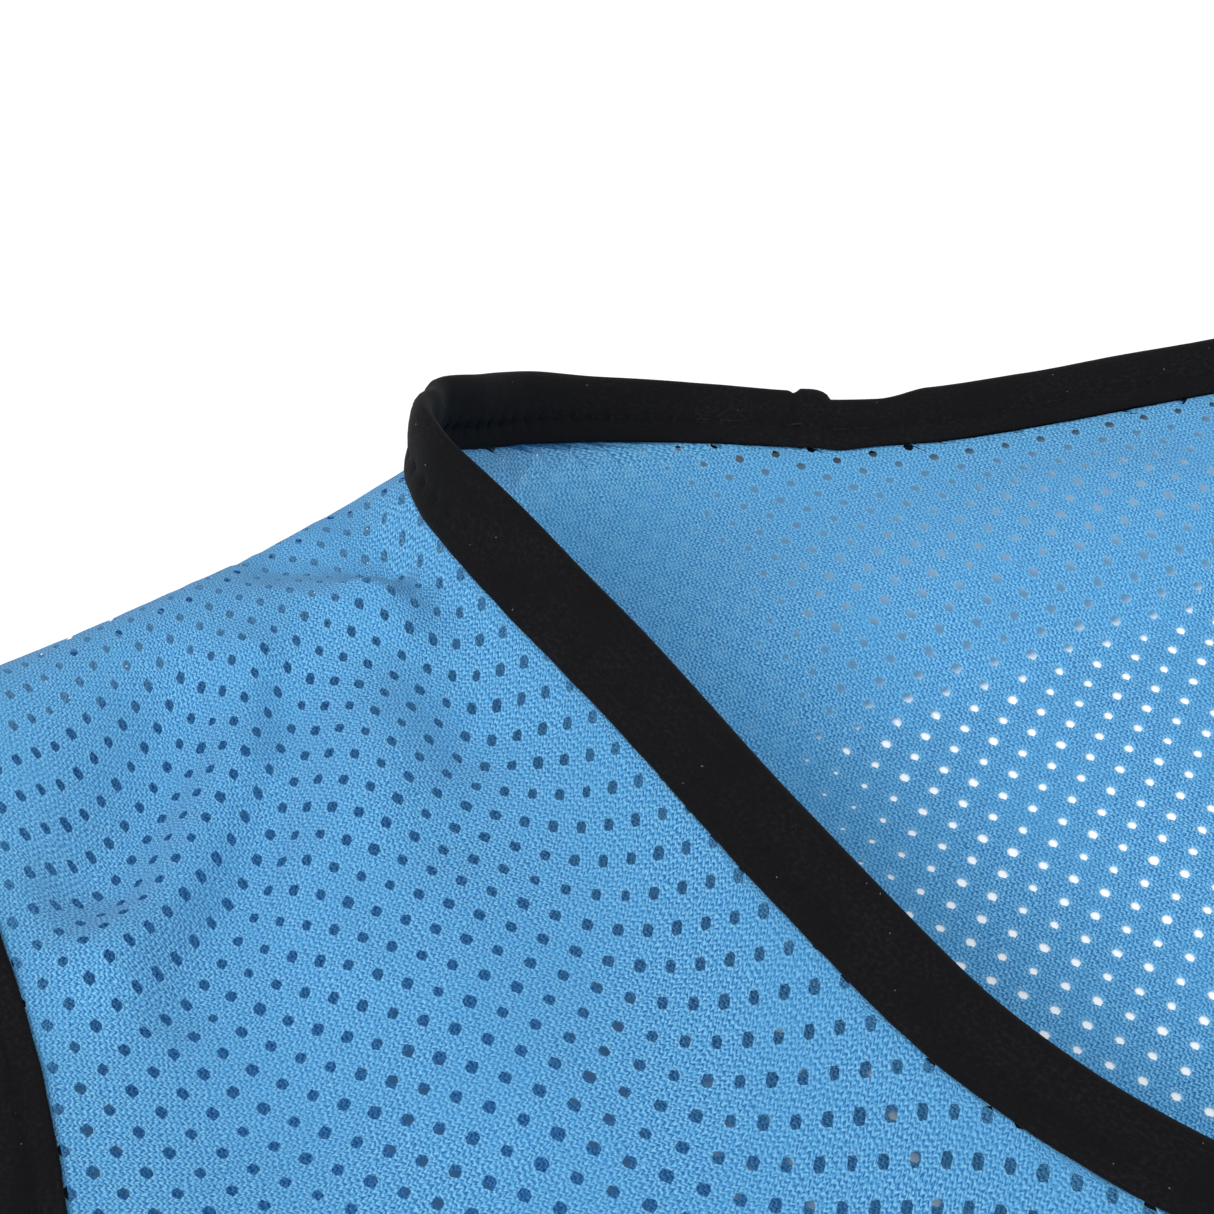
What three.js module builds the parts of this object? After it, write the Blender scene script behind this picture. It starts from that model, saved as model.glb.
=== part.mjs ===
// A mesh training bib that lies on a table with its front up, in millimetres with +Z up.
// X runs across the bib, +Y towards the shoulders, and the table is at z = 0.
// The front and back panels are open cloth walls, joined at the shoulders and sides,
// and a folded tape binds the neck and each armhole.

import * as THREE from 'three';

// Cloth and tape
const CLOTH = 1.0;
const TAPE_WALL = 1.0;
const TAPE_WIDTH = 10.3;
const TAPE_ROUND = 0.7;
const FIT_GAP = 0.3;
const TUCK = 5.5;
const LEG_START = 0.4;
const SEAM_GAP = 0.5;

// The top of the bib lies this far from the middle of its length
const TOP_Y = 349.5;

// Grid steps: between two rows of a table, and across half a panel
const ROW_STEPS = 2;
const ACROSS_STEPS = 11;

// The lap of the neck tape's two ends, beside the middle of the back
const LAP = { x: -54, halfLength: 5, rise: 0.6 };

// How far the armhole tape's outward direction turns upwards between shoulder and underarm
const UNDERARM_TURN = 65;

// Folds die away over these distances from a bound edge and from a side
const NECK_FADE = 20;
const SIDE_FADE = 30;

// Each row is a section of half a panel, from its inner edge (neckline or middle line)
// to its outer edge (armhole or side). out is measured from the middle line, down from
// the top of the bib, height from the table to the middle of the wall. lift is the angle
// of the bound edge above the table: at the neck it rolls on over the shoulder, past upright
// and back down to the table. round and drop shape the height between the two edges:
// round above 1 keeps the cloth up near the inner edge, drop above 1 lets it fall early.
const COLUMNS = [
  'innerOut', 'innerDown', 'innerHeight', 'innerLift',
  'outerOut', 'outerDown', 'outerHeight', 'outerLift', 'round', 'drop',
];

// Front panel: shoulder seam, ridge, neck bottom and underarm, hem.
// neckEnd and armEnd are the rows where the neckline and the armhole end.
const FRONT = {
  name: 'front',
  neckEnd: 10,
  armEnd: 10,
  rows: [
    [117.0, 43.5, 29.8, 84, 195.0, 55, 11.4, -8, 1.0, 1.6],
    [119.6, 49.5, 33.5, 82, 194.0, 60.5, 19.6, -10, 1.0, 1.6],
    [120.9, 56, 36.0, 76, 192.5, 68, 24.6, -12, 1.0, 1.6],
    [120.6, 64.5, 36.3, 62, 190.0, 79, 25.0, -12, 1.0, 1.5],
    [117.0, 80, 35.5, 36, 186.0, 98, 22.2, -10, 1.0, 1.3],
    [108.7, 107, 34.0, 18, 184.0, 130, 17.4, -8, 1.0, 1.1],
    [99.0, 140, 31.5, 14, 187.0, 165, 14.0, -6, 1.1, 1.0],
    [87.0, 169, 28.0, 12, 196.0, 200, 11.8, -4, 1.2, 1.0],
    [66.0, 194, 24.0, 10, 214.0, 237, 9.6, -2, 1.4, 1.0],
    [36.0, 209, 21.0, 8, 240.0, 262, 8.0, 0, 1.7, 1.0],
    [0, 214, 20.0, 8, 274, 275, 6.4, 0, 2.0, 1.0],
    [0, 290, 16.5, 0, 276, 335, 3.2, 0, 2.1, 1.0],
    [0, 375, 13.5, 0, 277, 410, 2.0, 0, 2.5, 1.0],
    [0, 475, 11.5, 0, 277.5, 500, 1.85, 0, 2.8, 1.0],
    [0, 580, 10.5, 0, 278, 592, 1.85, 0, 3.0, 1.0],
    [0, 690, 9.5, 0, 278, 690, 1.85, 0, 3.0, 1.0],
  ],
};

// Back panel: the same seam, under the shoulder fold, along the back neck, hem
const BACK = {
  name: 'back',
  neckEnd: 9,
  armEnd: 13,
  rows: [
    [117.0, 43.5, 29.8, 84, 195.0, 55, 11.4, -8, 1.0, 1.6],
    [113.3, 36.5, 26.0, 88, 197.0, 53, 6.2, -6, 1.0, 1.8],
    [106.0, 30, 20.0, 100, 197.5, 55.5, 2.8, 0, 1.0, 2.6],
    [95.0, 23, 13.2, 122, 196.0, 63, 2.1, 0, 1.0, 3.2],
    [82.0, 19, 7.5, 145, 193.5, 76, 2.1, 0, 1.0, 3.2],
    [68.5, 19.3, 4.5, 158, 191.0, 92, 2.1, 0, 1.0, 3.0],
    [54.0, 22.7, 3.0, 164, 189.5, 112, 2.1, 0, 1.0, 3.0],
    [36.0, 26.6, 2.6, 166, 188.8, 134, 2.1, 0, 1.0, 3.0],
    [18.0, 27.4, 2.4, 167, 190.0, 157, 2.1, 0, 1.0, 3.0],
    [0, 27.4, 2.4, 167, 193.5, 183, 2.1, 0, 1.0, 3.0],
    [0, 75, 1.2, 0, 201, 211, 2.1, 0, 3.0, 1.0],
    [0, 125, 0.5, 0, 218, 241, 2.1, 0, 6.0, 1.0],
    [0, 175, 0.5, 0, 243, 264, 2.1, 0, 6.0, 1.0],
    [0, 228, 0.5, 0, 274, 275, 2.1, 0, 6.0, 1.0],
    [0, 330, 0.5, 0, 276, 345, 0.5, 0, 6.0, 1.0],
    [0, 445, 0.5, 0, 277, 450, 0.5, 0, 6.0, 1.0],
    [0, 565, 0.5, 0, 278, 568, 0.5, 0, 6.0, 1.0],
    [0, 690, 0.5, 0, 278, 690, 0.5, 0, 6.0, 1.0],
  ],
};

// Folds: a ridge (or, below zero, a valley) along a line, with its height and half width.
// Here out is signed: below zero is the left half, on the -X side.
const FOLD_COLUMNS = ['out', 'down', 'endOut', 'endDown', 'height', 'width'];
FRONT.folds = [
  [-128, 78, -124, 100, -2.2, 6],
  [-140, 62, -147, 84, -2.0, 8],
  [-158, 96, -166, 140, -3.0, 13],
  [-138, 100, -136, 150, 2.0, 12],
  [132, 72, 146, 120, -2.4, 9],
  [160, 110, 170, 165, 2.6, 13],
  [-190, 300, -60, 470, 4.5, 24],
  [-110, 330, -30, 560, -3.5, 26],
  [200, 310, 90, 500, 4.8, 26],
  [60, 330, 20, 600, -3.5, 24],
  [-205, 480, -170, 690, 4.0, 24],
  [-75, 560, -70, 690, 4.2, 22],
  [90, 570, 100, 690, 4.4, 24],
  [205, 520, 190, 690, 3.4, 22],
];
BACK.folds = [
  [-70, 58, 64, 40, 2.8, 17],
  [-120, 120, -150, 210, 2.6, 20],
  [130, 130, 150, 230, 2.2, 18],
];

// A smooth curve through the rows of a panel's table, read at a spot counted in rows.
// The inner edge turns a corner at the end of the neckline, the outer one at the underarm.
function sectionAt(panel, spot) {
  const { rows, neckEnd, armEnd } = panel;
  const last = rows.length - 1;
  const k = Math.min(Math.floor(spot), last - 1);
  const t = spot - k;
  const section = {};
  COLUMNS.forEach((column, c) => {
    const corner = column.startsWith('outer') ? armEnd : neckEnd;
    const start = rows[k][c];
    const end = rows[k + 1][c];
    const startsFresh = k === 0 || k === corner;
    const stopsShort = k + 1 === last || k + 1 === corner;
    const startSlope = startsFresh ? end - start : (end - rows[k - 1][c]) / 2;
    const endSlope = stopsShort ? end - start : (rows[k + 2][c] - start) / 2;
    section[column] =
      start * (1 + 2 * t) * (1 - t) ** 2 +
      startSlope * t * (1 - t) ** 2 +
      end * t * t * (3 - 2 * t) +
      endSlope * t * t * (t - 1);
  });
  return section;
}

// How far the folds lift a point of a panel
function foldHeight(folds, out, down) {
  let lift = 0;
  for (const row of folds) {
    const fold = Object.fromEntries(FOLD_COLUMNS.map((column, c) => [column, row[c]]));
    const runOut = fold.endOut - fold.out;
    const runDown = fold.endDown - fold.down;
    const along = ((out - fold.out) * runOut + (down - fold.down) * runDown) / (runOut ** 2 + runDown ** 2);
    const nearest = Math.min(Math.max(along, 0), 1);
    const away = Math.hypot(out - fold.out - nearest * runOut, down - fold.down - nearest * runDown);
    lift += fold.height * Math.exp(-((away / fold.width) ** 2));
  }
  return lift;
}

// A point in the middle of a panel's wall. side is -1 for the left half and 1 for the right
function wallPoint(panel, side, across, spot) {
  const s = sectionAt(panel, spot);
  const out = s.innerOut + (s.outerOut - s.innerOut) * across;
  const down = s.innerDown + (s.outerDown - s.innerDown) * across;
  const fall = (1 - across ** s.round) ** s.drop;
  const rowLength = Math.hypot(s.outerOut - s.innerOut, s.outerDown - s.innerDown);
  const neckDown = sectionAt(panel, panel.neckEnd).innerDown;
  const underNeck = spot > panel.neckEnd ? s.innerDown - neckDown : 0;
  const fromNeck = Math.min(1, (across * rowLength + underNeck) / NECK_FADE);
  const fromSide = Math.min(1, ((1 - across) * rowLength) / SIDE_FADE);
  const fold = foldHeight(panel.folds, side * out, down) * fromNeck * fromSide * Math.min(1, spot);
  const height = s.outerHeight + (s.innerHeight - s.outerHeight) * fall + fold;
  return new THREE.Vector3(side * out, TOP_Y - down, Math.max(height, CLOTH / 2));
}

// The stations of one bound edge of half a panel, from the shoulder seam to the edge's end
function stations(panel, side, edge) {
  const end = edge === 'inner' ? panel.neckEnd : panel.armEnd;
  const list = [];
  for (let i = 0; i <= end * ROW_STEPS; i++) {
    const spot = i / ROW_STEPS;
    const lift = THREE.MathUtils.degToRad(sectionAt(panel, spot)[edge + 'Lift']);
    const point = wallPoint(panel, side, edge === 'inner' ? 0 : 1, spot);
    const turn = THREE.MathUtils.degToRad(UNDERARM_TURN * (spot / end) ** 3);
    const outward = new THREE.Vector3(side * Math.cos(turn), Math.sin(turn), 0);
    list.push({ key: [panel.name, side, edge, i].join(), fromSeam: i, point, lift, outward });
  }
  return list;
}

// Runs of stations joined end to end, each station with its direction along the edge
function joinRuns(runs, ring) {
  const path = [];
  for (const station of runs.flat()) {
    const previous = path.at(-1);
    if (previous && previous.point.distanceTo(station.point) < 0.01) {
      previous.keys.push(station.key);
    } else {
      path.push({ ...station, keys: [station.key] });
    }
  }
  if (ring) {
    path[0].keys.push(...path.pop().keys);
  }
  const count = path.length;
  path.forEach((station, n) => {
    const before = path[ring ? (n + count - 1) % count : Math.max(n - 1, 0)];
    const after = path[ring ? (n + 1) % count : Math.min(n + 1, count - 1)];
    station.along = after.point.clone().sub(before.point).normalize();
  });
  return path;
}

// The tape's direction off the cloth, square to the edge and lifted from the level direction
function setOff(path, levelOf) {
  for (const station of path) {
    const { along, lift } = station;
    const off = levelOf(station).multiplyScalar(Math.cos(lift));
    off.z += Math.sin(lift);
    station.off = off.addScaledVector(along, -off.dot(along)).normalize();
  }
  return path;
}

// The neck edge is a ring: up the left of the front, along the back and down the right
function neckPath() {
  const path = joinRuns([
    stations(FRONT, -1, 'inner').reverse(),
    stations(BACK, -1, 'inner'),
    stations(BACK, 1, 'inner').reverse(),
    stations(FRONT, 1, 'inner'),
  ], true);
  return setOff(path, ({ along }) => new THREE.Vector3(along.y, -along.x, 0).normalize());
}

// An armhole edge runs from the underarm up the front, over the shoulder and down the back
function armPath(side) {
  const path = joinRuns([
    stations(FRONT, side, 'outer').reverse(),
    stations(BACK, side, 'outer'),
  ], false);
  return setOff(path, ({ outward }) => outward.clone());
}

const neckEdge = neckPath();
const armEdges = { left: armPath(-1), right: armPath(1) };
const offAt = new Map();
for (const station of [...neckEdge, ...armEdges.left, ...armEdges.right]) {
  station.keys.forEach((key) => offAt.set(key, station.off));
}

// One half of a panel as rows of points, with the strips that go up into the tapes.
// Each row starts at its inner tape or, below the neck, at the middle line.
function halfGrid(panel, side) {
  const rows = [];
  for (let i = 0; i <= (panel.rows.length - 1) * ROW_STEPS; i++) {
    const row = [];
    for (let j = 0; j <= ACROSS_STEPS; j++) {
      row.push(wallPoint(panel, side, j / ACROSS_STEPS, i / ROW_STEPS));
    }
    const innerOff = offAt.get([panel.name, side, 'inner', i].join());
    const outerOff = offAt.get([panel.name, side, 'outer', i].join());
    const innerTuck = innerOff ? row[0].clone().addScaledVector(innerOff, TUCK) : null;
    const outerTuck = outerOff ? row[ACROSS_STEPS].clone().addScaledVector(outerOff, TUCK) : null;
    rows.push([innerTuck, ...row, outerTuck]);
  }
  // The two panels stop just short of each other at the shoulder seam
  rows[0].forEach((point, j) => {
    const inward = rows[1][j].clone().sub(point).normalize();
    point.addScaledVector(inward, SEAM_GAP);
  });
  return rows;
}

// A closed wall of even thickness about a sheet of four-sided cells
function thicken(points, cells, thickness) {
  const normals = points.map(() => new THREE.Vector3());
  const edgeUse = new Map();
  for (const cell of cells) {
    const [a, b, c, d] = cell.map((index) => points[index]);
    const normal = c.clone().sub(a).cross(d.clone().sub(b));
    cell.forEach((index, n) => {
      normals[index].add(normal);
      const next = cell[(n + 1) % 4];
      edgeUse.set(`${index},${next}`, [index, next]);
    });
  }
  const corners = [];
  for (const sign of [0.5, -0.5]) {
    points.forEach((point, n) => {
      corners.push(point.clone().addScaledVector(normals[n].clone().normalize(), sign * thickness));
    });
  }
  const under = points.length;
  const triangles = [];
  for (const [a, b, c, d] of cells) {
    triangles.push(a, b, c, a, c, d);
    triangles.push(under + a, under + c, under + b, under + a, under + d, under + c);
  }
  for (const [a, b] of edgeUse.values()) {
    if (!edgeUse.has(`${b},${a}`)) {
      triangles.push(a, under + a, under + b, a, under + b, b);
    }
  }
  return closedGeometry(corners, triangles);
}

function closedGeometry(corners, triangles) {
  const geometry = new THREE.BufferGeometry();
  const numbers = corners.flatMap((corner) => corner.toArray());
  geometry.setAttribute('position', new THREE.Float32BufferAttribute(numbers, 3));
  geometry.setIndex(triangles);
  geometry.computeVertexNormals();
  return geometry;
}

// Both halves of a panel, sharing the points of the middle line from the neck down
function panelGeometry(panel) {
  const points = [];
  const cells = [];
  const shared = new Map();
  for (const side of [-1, 1]) {
    const rows = halfGrid(panel, side);
    const numbers = rows.map((row, i) =>
      row.map((point, j) => {
        const spot = `${i},${j}`;
        const onMiddle = i >= panel.neckEnd * ROW_STEPS && j < 2;
        if (!point || (onMiddle && shared.has(spot))) {
          return point ? shared.get(spot) : null;
        }
        points.push(point);
        shared.set(spot, points.length - 1);
        return points.length - 1;
      }),
    );
    for (let i = 0; i + 1 < rows.length; i++) {
      for (let j = 0; j + 1 < rows[i].length; j++) {
        const cell = [numbers[i][j], numbers[i + 1][j], numbers[i + 1][j + 1], numbers[i][j + 1]];
        if (cell.includes(null)) {
          continue;
        }
        // Cells are cut from their first corner to their third, in the strips the same way as the tapes
        const [a, b, c, d] = j === 0 ? [...cell.slice(1), cell[0]] : cell;
        cells.push(side === 1 ? [a, b, c, d] : [a, d, c, b]);
      }
    }
  }
  return thicken(points, cells, CLOTH);
}

// The tape's folded section: off is measured from the stitched line, rise across the wall
function tapeSection() {
  const slot = CLOTH / 2 + FIT_GAP;
  const face = slot + TAPE_WALL;
  const foldInside = TAPE_WIDTH - TAPE_WALL;
  return [
    [LEG_START, face], [TAPE_WIDTH - TAPE_ROUND, face], [TAPE_WIDTH, face - TAPE_ROUND],
    [TAPE_WIDTH, TAPE_ROUND - face], [TAPE_WIDTH - TAPE_ROUND, -face], [LEG_START, -face],
    [LEG_START, -slot], [TUCK, -slot], [foldInside, -slot],
    [foldInside, slot], [TUCK, slot], [LEG_START, slot],
  ];
}

// A tape swept along bound edges, either a closed ring or a length with two ends
function tapeGeometry(edges, ring) {
  const section = tapeSection();
  const corners = [];
  for (const { point, along, off, swell = 0 } of edges) {
    const rise = new THREE.Vector3().crossVectors(along, off).normalize();
    for (const [outwards, across] of section) {
      const outer = Math.abs(across) > CLOTH / 2 + FIT_GAP + TAPE_WALL / 2 ? swell * Math.sign(across) : 0;
      corners.push(point.clone().addScaledVector(off, outwards).addScaledVector(rise, across + outer));
    }
  }
  const size = section.length;
  const triangles = [];
  const last = ring ? edges.length : edges.length - 1;
  for (let i = 0; i < last; i++) {
    const following = (i + 1) % edges.length;
    const here = i * size;
    const next = following * size;
    const downwards = edges[following].fromSeam > edges[i].fromSeam;
    for (let j = 0; j < size; j++) {
      const k = (j + 1) % size;
      const outwards = section[k][0] >= section[j][0];
      const cell = [here + j, next + j, next + k, here + k];
      const [a, b, c, d] = downwards === outwards ? cell : [...cell.slice(1), cell[0]];
      triangles.push(a, b, c, a, c, d);
    }
  }
  if (!ring) {
    const outline = section.map(([x, y]) => new THREE.Vector2(x, y));
    const faces = THREE.ShapeUtils.triangulateShape(outline, []);
    const end = (edges.length - 1) * size;
    for (const [a, b, c] of faces) {
      triangles.push(a, c, b);
      triangles.push(end + a, end + b, end + c);
    }
  }
  return closedGeometry(corners, triangles);
}

// The neck tape swells where its ends lap
function neckTape() {
  for (const station of neckEdge) {
    const onBack = station.lift > Math.PI / 2;
    const lapped = onBack && Math.abs(station.point.x - LAP.x) < LAP.halfLength;
    station.swell = lapped ? LAP.rise : 0;
  }
  return tapeGeometry(neckEdge, true);
}

function piece(name, geometry, material) {
  const mesh = new THREE.Mesh(geometry, material);
  mesh.name = name;
  return mesh;
}

const meshCloth = () => new THREE.MeshStandardMaterial({ color: 0x579dd1, roughness: 0.85, metalness: 0 });
const blackTape = () => new THREE.MeshStandardMaterial({ color: 0x141418, roughness: 0.9, metalness: 0 });

const bib = new THREE.Group();
bib.add(piece('front_panel', panelGeometry(FRONT), meshCloth()));
bib.add(piece('back_panel', panelGeometry(BACK), meshCloth()));
bib.add(piece('neck_binding', neckTape(), blackTape()));
bib.add(piece('armhole_binding_left', tapeGeometry(armEdges.left, false), blackTape()));
bib.add(piece('armhole_binding_right', tapeGeometry(armEdges.right, false), blackTape()));

export default bib;
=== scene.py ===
"""A blue mesh training bib that lies on a pale floor with its front up.

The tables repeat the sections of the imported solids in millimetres, and each mesh is
scaled to metres when it is made. The panels become sheets with open eyelets, and the
tapes become soft folded bindings with their stitches.
"""

import math

import bpy
import numpy as np
from mathutils import Matrix


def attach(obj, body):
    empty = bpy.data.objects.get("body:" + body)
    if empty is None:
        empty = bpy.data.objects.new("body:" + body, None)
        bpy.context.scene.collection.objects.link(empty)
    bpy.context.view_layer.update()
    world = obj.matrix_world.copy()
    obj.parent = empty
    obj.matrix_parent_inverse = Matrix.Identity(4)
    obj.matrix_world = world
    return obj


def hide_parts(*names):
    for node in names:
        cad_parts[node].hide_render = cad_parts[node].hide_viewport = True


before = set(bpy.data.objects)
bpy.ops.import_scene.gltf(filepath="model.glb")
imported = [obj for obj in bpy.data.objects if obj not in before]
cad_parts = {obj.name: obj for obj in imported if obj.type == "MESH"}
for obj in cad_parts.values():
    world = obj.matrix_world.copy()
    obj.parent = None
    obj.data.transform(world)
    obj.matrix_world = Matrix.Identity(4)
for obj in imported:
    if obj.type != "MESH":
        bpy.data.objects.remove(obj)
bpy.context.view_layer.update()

MM = 0.001
TOP_Y = 349.5
BIB_LENGTH = 690.0
CLOTH = 1.0
NECK_FADE = 20.0
SIDE_FADE = 30.0
UNDERARM_TURN = 65.0

# Sections of half a panel, as in the solids: edges, heights, tape lift and the curve between
COLUMNS = (
    "inner_out", "inner_down", "inner_height", "inner_lift",
    "outer_out", "outer_down", "outer_height", "outer_lift", "round", "drop",
)
IS_OUTER = np.array([name.startswith("outer") for name in COLUMNS])

FRONT = {
    "name": "front",
    "neck_end": 10,
    "arm_end": 10,
    "rows": np.array([
        [117.0, 43.5, 29.8, 84, 195.0, 55, 11.4, -8, 1.0, 1.6],
        [119.6, 49.5, 33.5, 82, 194.0, 60.5, 19.6, -10, 1.0, 1.6],
        [120.9, 56, 36.0, 76, 192.5, 68, 24.6, -12, 1.0, 1.6],
        [120.6, 64.5, 36.3, 62, 190.0, 79, 25.0, -12, 1.0, 1.5],
        [117.0, 80, 35.5, 36, 186.0, 98, 22.2, -10, 1.0, 1.3],
        [108.7, 107, 34.0, 18, 184.0, 130, 17.4, -8, 1.0, 1.1],
        [99.0, 140, 31.5, 14, 187.0, 165, 14.0, -6, 1.1, 1.0],
        [87.0, 169, 28.0, 12, 196.0, 200, 11.8, -4, 1.2, 1.0],
        [66.0, 194, 24.0, 10, 214.0, 237, 9.6, -2, 1.4, 1.0],
        [36.0, 209, 21.0, 8, 240.0, 262, 8.0, 0, 1.7, 1.0],
        [0, 214, 20.0, 8, 274, 275, 6.4, 0, 2.0, 1.0],
        [0, 290, 16.5, 0, 276, 335, 3.2, 0, 2.1, 1.0],
        [0, 375, 13.5, 0, 277, 410, 2.0, 0, 2.5, 1.0],
        [0, 475, 11.5, 0, 277.5, 500, 1.85, 0, 2.8, 1.0],
        [0, 580, 10.5, 0, 278, 592, 1.85, 0, 3.0, 1.0],
        [0, 690, 9.5, 0, 278, 690, 1.85, 0, 3.0, 1.0],
    ]),
    # Folds: out, down, end out, end down, height, width
    "folds": [
        (-128, 78, -124, 100, -2.2, 6),
        (-140, 62, -147, 84, -2.0, 8),
        (-158, 96, -166, 140, -3.0, 13),
        (-138, 100, -136, 150, 2.0, 12),
        (132, 72, 146, 120, -2.4, 9),
        (160, 110, 170, 165, 2.6, 13),
        (-190, 300, -60, 470, 4.5, 24),
        (-110, 330, -30, 560, -3.5, 26),
        (200, 310, 90, 500, 4.8, 26),
        (60, 330, 20, 600, -3.5, 24),
        (-205, 480, -170, 690, 4.0, 24),
        (-75, 560, -70, 690, 4.2, 22),
        (90, 570, 100, 690, 4.4, 24),
        (205, 520, 190, 690, 3.4, 22),
    ],
}

BACK = {
    "name": "back",
    "neck_end": 9,
    "arm_end": 13,
    "rows": np.array([
        [117.0, 43.5, 29.8, 84, 195.0, 55, 11.4, -8, 1.0, 1.6],
        [113.3, 36.5, 26.0, 88, 197.0, 53, 6.2, -6, 1.0, 1.8],
        [106.0, 30, 20.0, 100, 197.5, 55.5, 2.8, 0, 1.0, 2.6],
        [95.0, 23, 13.2, 122, 196.0, 63, 2.1, 0, 1.0, 3.2],
        [82.0, 19, 7.5, 145, 193.5, 76, 2.1, 0, 1.0, 3.2],
        [68.5, 19.3, 4.5, 158, 191.0, 92, 2.1, 0, 1.0, 3.0],
        [54.0, 22.7, 3.0, 164, 189.5, 112, 2.1, 0, 1.0, 3.0],
        [36.0, 26.6, 2.6, 166, 188.8, 134, 2.1, 0, 1.0, 3.0],
        [18.0, 27.4, 2.4, 167, 190.0, 157, 2.1, 0, 1.0, 3.0],
        [0, 27.4, 2.4, 167, 193.5, 183, 2.1, 0, 1.0, 3.0],
        [0, 75, 1.2, 0, 201, 211, 2.1, 0, 3.0, 1.0],
        [0, 125, 0.5, 0, 218, 241, 2.1, 0, 6.0, 1.0],
        [0, 175, 0.5, 0, 243, 264, 2.1, 0, 6.0, 1.0],
        [0, 228, 0.5, 0, 274, 275, 2.1, 0, 6.0, 1.0],
        [0, 330, 0.5, 0, 276, 345, 0.5, 0, 6.0, 1.0],
        [0, 445, 0.5, 0, 277, 450, 0.5, 0, 6.0, 1.0],
        [0, 565, 0.5, 0, 278, 568, 0.5, 0, 6.0, 1.0],
        [0, 690, 0.5, 0, 278, 690, 0.5, 0, 6.0, 1.0],
    ]),
    "folds": [
        (-70, 58, 64, 40, 2.8, 17),
        (-120, 120, -150, 210, 2.6, 20),
        (130, 130, 150, 230, 2.2, 18),
    ],
}

# Soft creases of the left strap: height, width and points (out, down)
STRAP_CREASES = [
    (-2.7, 5.0, [(-128, 56), (-125.5, 66)]),
    (-2.4, 5.0, [(-139, 57.5), (-129, 66.5)]),
    (1.8, 3.5, [(-131, 73), (-128.5, 80)]),
    (-1.5, 4.0, [(-122.5, 72), (-120.5, 81)]),
    (2.1, 5.5, [(-142, 67.5), (-132, 74.5)]),
    (4.4, 6.5, [(-148, 77), (-152.5, 89), (-159.5, 98.5), (-166, 108.5), (-172.5, 114.5)]),
    (-5.0, 8.5, [(-158, 80), (-161, 85), (-166, 93), (-171, 100)]),
    (-2.3, 4.5, [(-144.5, 82), (-147, 94), (-156, 107), (-167, 121)]),
    (0.9, 6.5, [(-131.5, 78), (-135, 88.5), (-140.5, 106)]),
    (-1.0, 5.5, [(-122.5, 90), (-125, 100.5), (-132, 114)]),
    (1.1, 4.0, [(-149, 110), (-147.5, 128)]),
]
CREASE_FADE = 5.0
ARM_FADE = 8.0
ARM_FADE_ROWS = 4
CREASE_TURN = 0.7

# The right strap repeats the creases from this one on, this far down
MIRRORED_FROM = 3
MIRRORED_DOWN = 6


def scattered_creases(seed, count, out, down, length, height, width):
    """Short creases strewn over an area, the same on every run."""
    rng = np.random.default_rng(seed)
    creases = []
    for _ in range(count):
        x, y = rng.uniform(*out), rng.uniform(*down)
        turn = rng.normal(0, CREASE_TURN)
        run = rng.uniform(*length)
        line = [(x, y), (x + run * math.sin(turn), y + run * math.cos(turn))]
        creases.append((rng.uniform(*height), rng.uniform(*width), line))
    return creases


def mirrored(creases):
    """Creases of the left strap, turned over onto the right one."""
    return [(h, w, [(-x, y + MIRRORED_DOWN) for x, y in line]) for h, w, line in creases]


FRONT["creases"] = (
    STRAP_CREASES
    + mirrored(STRAP_CREASES[MIRRORED_FROM:])
    + scattered_creases(
        seed=3, count=56, out=(-235, 235), down=(225, 660),
        length=(30, 95), height=(-2.0, 2.3), width=(6, 13),
    )
)
# The back sinks to the floor below the fold at its neck
BACK["creases"] = (
    [(-2.0, 13.0, [(-78, 90), (70, 70)]), (-1.5, 24.0, [(-100, 130), (100, 112)])]
    + scattered_creases(
        seed=5, count=36, out=(-215, 215), down=(240, 640),
        length=(40, 120), height=(0.3, 1.4), width=(7, 14),
    )
)

# The eyelet net: step along a course, rise between courses and half sizes of an eyelet
FRONT["net"] = {"step": 6.2, "rise": 2.9, "width": 0.75, "length": 1.00, "shoulder": 0.36}
BACK["net"] = {"step": 5.6, "rise": 3.45, "width": 0.59, "length": 0.90, "shoulder": 0.39}
NET_HALF_WIDTH = 290.0
NET_SEED = 7
EYELET_SPREAD = 0.06
CORNER_SPREAD = 0.04

# The lowest that the middle of each panel's wall lies
LOWEST = {"front": 1.5, "back": CLOTH / 2}

# Eyelets are drawn nearly shut where open ones would let the floor show through both walls:
# on the back's shoulders, and on the front behind the line of its ridge
SHUT_SHARE = 0.85
SHUT_BACK_OUT, SHUT_BACK_OUT_EASE = 62.0, 22.0
SHUT_BACK_UP, SHUT_BACK_UP_EASE = 560.0, 40.0
SHUT_FRONT_OUT, SHUT_FRONT_EASE = 105.0, 10.0
RIDGE_OUT, RIDGE_DOWN = 120.0, 50.0
RIDGE_SLOPE = 0.14
RIDGE_EASE = 4.0

# The hem: how far it turns up, the gap to the turned layer, and its row of stitches
HEM_TURN = 15.0
HEM_LAYER = 0.8
HEM_STITCH_UP = 12.0
HEM_FROM, HEM_TO = -272.0, 270.0
HEM_PITCH = 3.2
HEM_STITCH = 2.6
HEM_PROUD = 0.12
HEM_RADIUS = 0.16

# Overlock threads on the seams, and how far inside the shoulder seam they lie
SEAM_INSIDE = 0.7
SEAM_PITCH = 1.1
SEAM_REACH = 0.7
SEAM_SLANT = 0.45
SEAM_AHEAD = 0.5
SEAM_RADIUS = 0.28

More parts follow.
